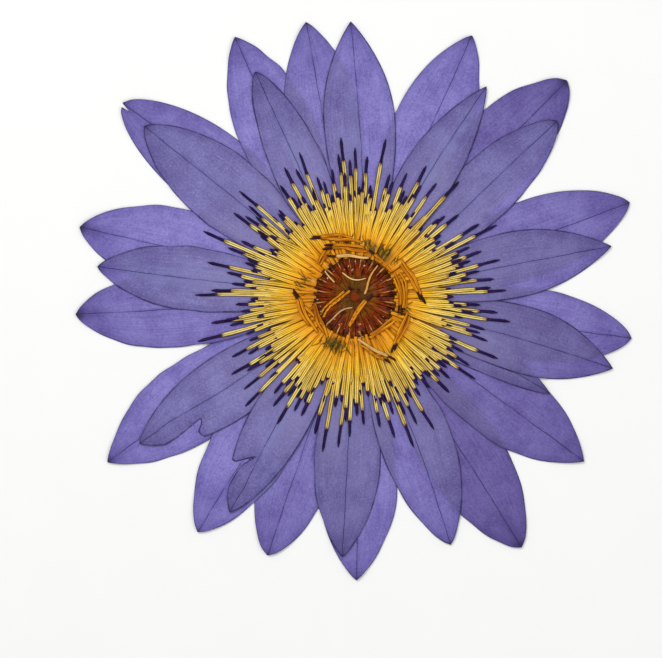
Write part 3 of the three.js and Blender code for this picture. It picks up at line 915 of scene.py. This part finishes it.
def pistil_material():
    g = Graph("pistil_skin", roughness=0.3, specular=0.05)
    radius, phase, side = g.read("radius_mm"), g.read("phase"), g.read("side")
    angle, pit = g.read("angle"), g.read("pit")
    ray = g.noise(g.vector(g.times(angle, 21.0), g.times(radius, 0.35), 3.0), 1.0, 4.0, 0.7)
    blot = g.noise(g.place(), 520.0, 4.0, 0.6)
    flesh = g.ramp(g.step(radius, 0.0, 11.0), [
        (0.0, srgb("7c2e0a")), (0.03, srgb("742808")), (0.05, srgb("543410")), (0.24, srgb("623e10")),
        (0.42, srgb("76400c")), (0.7, srgb("762a04")), (0.9, srgb("6a2004")), (1.0, srgb("5a2a06"))])
    flesh = g.mix(g.step(ray, 0.53, 0.72, 0.0, 0.7), flesh, srgb("bc6216"))
    flesh = g.darken(flesh, g.step(ray, 0.50, 0.36, 0.0, 0.95), srgb("552410"))
    flesh = g.darken(flesh, g.step(blot, 0.5, 0.68, 0.0, 0.8), srgb("6a2c1a"))
    off_ridge = g.positive(g.minus(phase, 0.5))
    crease = g.step(off_ridge, 0.36, 0.5)
    flesh = g.darken(flesh, g.times(crease, g.step(radius, 2.0, 6.0)), srgb("331204"))
    spine = g.times(g.step(off_ridge, 0.07, 0.0), g.step(radius, 6.5, 9.5))
    flesh = g.mix(g.times(spine, g.step(ray, 0.4, 0.6)), flesh, srgb("d8b06a"))
    flesh = g.mix(g.step(radius, 10.7, 11.0), flesh, srgb("b06c14"))
    under = g.ramp(g.step(radius, 0.0, 10.0),
                   [(0.0, srgb("8d8a4e")), (0.6, srgb("7d8346")), (1.0, srgb("6a6a38"))])
    under = g.darken(under, g.step(blot, 0.45, 0.65, 0.0, 0.7), srgb("8a7a52"))
    under = g.mix(g.step(radius, 3.9, 3.5), under, srgb("a89a5e"))
    # the air channels and the groove round the scar are painted dark: painted shade in these hollows
    under = g.mix(g.step(pit, 0.1, 0.8), under, srgb("3a3018"))
    # pale flecks towards the rim: painted glints of light
    painted_glints = g.times(g.step(g.noise(g.place(), 900.0, 1.0), 0.66, 0.74), g.step(radius, 5.5, 9.0))
    flesh = g.mix(g.times(painted_glints, 0.75), flesh, srgb("e8c9a0"))
    colour = g.mix(side, under, flesh)
    rough = g.step(blot, 0.35, 0.65, 0.2, 0.4)
    return g.finish(colour, g.plus(ray, blot), strength=0.5, depth=0.00015, rough=rough)


def pistil():
    outer = (PISTIL_HIGH.x - PISTIL_LOW.x) / 2 / MM
    tall = PISTIL_HIGH.z / MM
    turns = 240
    angle = np.linspace(0, 2 * math.pi, turns, endpoint=False)
    phase = (angle / (2 * math.pi) * CARPELS) % 1
    ridge = np.sin(np.pi * phase) ** 0.6
    rings = []

    def add(radius, z, side, pit=0.0):
        rings.append((np.broadcast_to(radius, turns), np.broadcast_to(z, turns), side,
                      np.broadcast_to(pit, turns)))

    # underside: the stem's scar, with its air channels and the groove round it
    for r in SCAR_RINGS:
        channel = smoothstep(0.1, 0.75, np.cos(angle * AIR_CHANNELS)) * math.exp(-((r - 1.9) / 0.62) ** 4)
        groove = math.exp(-((r - 4.0) / 0.3) ** 2)
        add(r, 0.02 + 0.55 * channel + 0.18 * groove, 0.0, 1.3 * channel + 0.5 * groove)
    add(outer - 0.25, 0.2, 0.0)
    add(outer, 0.7, 0.5)
    for z in (1.1, 1.6, 2.0):
        add(outer - 0.05, z, 1.0)
    # the rim, scalloped by the carpels, and the dish inside it
    for r, z in DISC_PROFILE:
        grow = smoothstep(1.6, 5.5, r) * smoothstep(11.0, 10.0, r)
        scallop = 0.15 * (ridge - 0.5) * smoothstep(9.5, 10.8, r)
        add(r + scallop, z - 0.22 * (1 - ridge) * grow - 0.04, 1.0)
    points, side, radius = [], [], []
    for ring_radius, z, s, _ in rings:
        for k in range(turns):
            points.append((MIDDLE[0] + ring_radius[k] * math.cos(angle[k]),
                           MIDDLE[1] + ring_radius[k] * math.sin(angle[k]), min(z[k], tall)))
            side.append(s)
            radius.append(ring_radius[k])
    faces = []
    for i in range(len(rings) - 1):
        for k in range(turns):
            a, b = i * turns + k, i * turns + (k + 1) % turns
            faces.append([a, b, b + turns, a + turns])
    faces.append([k for k in reversed(range(turns))])
    faces.append([(len(rings) - 1) * turns + k for k in range(turns)])
    count = len(rings)
    attributes = {"radius_mm": radius, "side": side, "phase": np.tile(phase, count),
                  "angle": np.tile(angle, count), "pit": np.concatenate([ring[3] for ring in rings])}
    piece("pistil_body", points, faces, attributes, pistil_material(), "pistil", "pistil")


pistil()
disc_radii, disc_heights = np.array(DISC_PROFILE[::-1]).T
rim_angles = np.linspace(0, 2 * math.pi, 72, endpoint=False)
rim_ring = MIDDLE + RIM_RADIUS * np.column_stack([np.cos(rim_angles), np.sin(rim_angles)])
heap.lay(rim_ring, lambda xy: np.interp(np.hypot(*(xy - MIDDLE).T), disc_radii, disc_heights))

# ------------------------------------------------------------------ folded stamens

# folded stamens by number: those that end in a dark appendage, how pale some have dried, and how far
# aside in mm a second one lies against the first
DARK_ENDED = (1, 2, 3, 8, 9, 11, 12, 14, 15, 16, 21)
PALE = {3: 0.5, 5: 0.9, 6: 0.8, 7: 0.3, 14: 0.6, 20: 0.75}
PAIRED = {1: -0.95, 2: -0.9, 4: 0.8, 9: -0.85, 10: -0.75, 11: -0.95, 12: 0.85, 13: -0.9, 16: 1.0,
          18: 0.85}
# those whose one node stands for two narrow stamens, and how far some have thinned in drying
SPLIT = (19,)
HALF_APART, NARROWED = 0.27, 0.55
SLENDER = {5: 0.6, 6: 0.5, 7: 0.65, 20: 0.6}
# those whose dark end is at the strap's root
TURNED = (8,)


def folded(node, number):
    loop, _ = outline(node)
    # the point of the strap is its sharpest corner; the two ends of its root are square to it
    ring = np.roll(loop, -int(np.argmax(turn_at(loop))), axis=0)
    centre = [ring[0]]
    widths = []
    for k in range(1, (len(ring) - 1) // 2 + 1):
        centre.append((ring[k] + ring[-k]) / 2)
        widths.append(np.hypot(*(ring[k] - ring[-k])))
    centre = np.array(centre if number in TURNED else centre[::-1])
    full = float(np.median(widths))
    run = np.concatenate([[0], np.cumsum(np.hypot(*np.diff(centre, axis=0).T))])
    rng = random.Random(number)
    dark = number in DARK_ENDED
    made = []
    sides = [0.0] + ([PAIRED[number]] if number in PAIRED else [])
    if number in SPLIT:
        sides, full = [-HALF_APART * full, HALF_APART * full], NARROWED * full
    full = full * SLENDER.get(number, 1.0)
    for k, aside in enumerate(sides):
        length = run[-1] * (1.0 if k == 0 else rng.uniform(0.74, 0.92))
        appendage = min(2.8, length * 0.22) if dark else 0.3
        own = full * rng.uniform(0.74, 0.86) * (1.0 if k == 0 else 0.85)
        steps, half = strap_widths(length, own, appendage, rng)
        at = steps + (run[-1] - length) * rng.uniform(0.3, 1)
        plan = np.column_stack([np.interp(at, run, centre[:, 0]), np.interp(at, run, centre[:, 1])])
        for _ in range(3):
            plan[1:-1] = (plan[:-2] + 2 * plan[1:-1] + plan[2:]) / 4
        tangent = np.gradient(plan, axis=0)
        tangent /= np.hypot(*tangent.T)[:, None]
        side = np.column_stack([-tangent[:, 1], tangent[:, 0]])
        wobble = 0.16 * np.sin(steps * rng.uniform(0.5, 1.0) + rng.uniform(0, 6))
        plan = plan + side * (wobble + aside * (0.8 + 0.2 * np.sin(steps * 0.6)))[:, None]
        # it lies on what is below, and is stiff enough to bridge small dips
        z = heap.read(heap.soften(heap.spread(heap.height, 1), 1), plan) + 0.03
        for _ in range(10):
            z[1:-1] = np.maximum(z[1:-1], (z[:-2] + z[2:]) / 2 - 0.004)
        for _ in range(2):
            z[1:-1] = (z[:-2] + 2 * z[1:-1] + z[2:]) / 4
        one = strap(np.column_stack([plan, z]), half, FOLDED_THICKNESS, appendage, number * 5.1 + k,
                    rng.uniform(0.0, 0.3), rng.uniform(-0.3, 0.3), 1.0,
                    PALE.get(number, 0.0))
        if not dark:
            one[2]["along"] *= 0.9
        made.append(one)
        heap.lay_strap(np.column_stack([plan, z]), FOLDED_THICKNESS)
    return join(made)


def lowest_first(node):
    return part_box(node)[0].z, int(node.rsplit("_", 1)[1])


for node in sorted((n for n in NODES if n.startswith("stamen_folded")), key=lowest_first):
    points, faces, attributes = folded(node, int(node.rsplit("_", 1)[1]))
    piece(node + "_strap", points, faces, attributes, STAMEN, "stamen_folded", node)

# ------------------------------------------------------------------ floor, light and camera

FLOOR_LEVEL = -0.00008  # just below the flower, so that the two don't touch
FLOOR_HALF = 4.0

floor_mesh = bpy.data.meshes.new("floor")
corners = [(x * FLOOR_HALF, y * FLOOR_HALF, 0) for x, y in ((-1, -1), (1, -1), (1, 1), (-1, 1))]
floor_mesh.from_pydata(corners, [], [[0, 1, 2, 3]])
floor = bpy.data.objects.new("floor", floor_mesh)
floor.location.z = FLOOR_LEVEL
bpy.context.scene.collection.objects.link(floor)
paper = Graph("floor_white", roughness=0.9, specular=0.1)
speck = paper.noise(paper.place(), 60.0, 2.0)
white = paper.mix(speck, (0.846, 0.845, 0.839), (0.866, 0.865, 0.859))
floor_mesh.materials.append(paper.finish(white))


def softbox(name, place, aim, width, power):
    data = bpy.data.lights.new(name, "AREA")
    data.shape = "DISK"
    data.size = width
    data.energy = power
    lamp = bpy.data.objects.new(name, data)
    lamp.location = place
    lamp.rotation_euler = (Vector(aim) - Vector(place)).to_track_quat("-Z", "Y").to_euler()
    bpy.context.scene.collection.objects.link(lamp)


softbox("key", (-0.35, 0.45, 0.75), (0, 0, 0), 0.5, 4.6)
softbox("fill", (0.6, -0.3, 0.7), (0, 0, 0), 0.8, 2.2)

world = bpy.data.worlds.new("studio")
world.use_nodes = True
world.node_tree.nodes["Background"].inputs["Color"].default_value = (1, 1, 1, 1)
world.node_tree.nodes["Background"].inputs["Strength"].default_value = 0.6
bpy.context.scene.world = world

# straight down, with the view's centre a little left of and below the flower's
VIEW_WIDTH = 0.1751
VIEW_CENTRE = (-0.00597, -0.00742)
CAMERA_HEIGHT = 1.4
SENSOR_WIDTH = 36
camera_data = bpy.data.cameras.new("camera")
camera_data.sensor_width = SENSOR_WIDTH
camera_data.lens = SENSOR_WIDTH * CAMERA_HEIGHT / VIEW_WIDTH
camera = bpy.data.objects.new("camera", camera_data)
camera.location = (*VIEW_CENTRE, CAMERA_HEIGHT)
bpy.context.scene.collection.objects.link(camera)
bpy.context.scene.camera = camera
bpy.context.scene.view_settings.view_transform = "Standard"
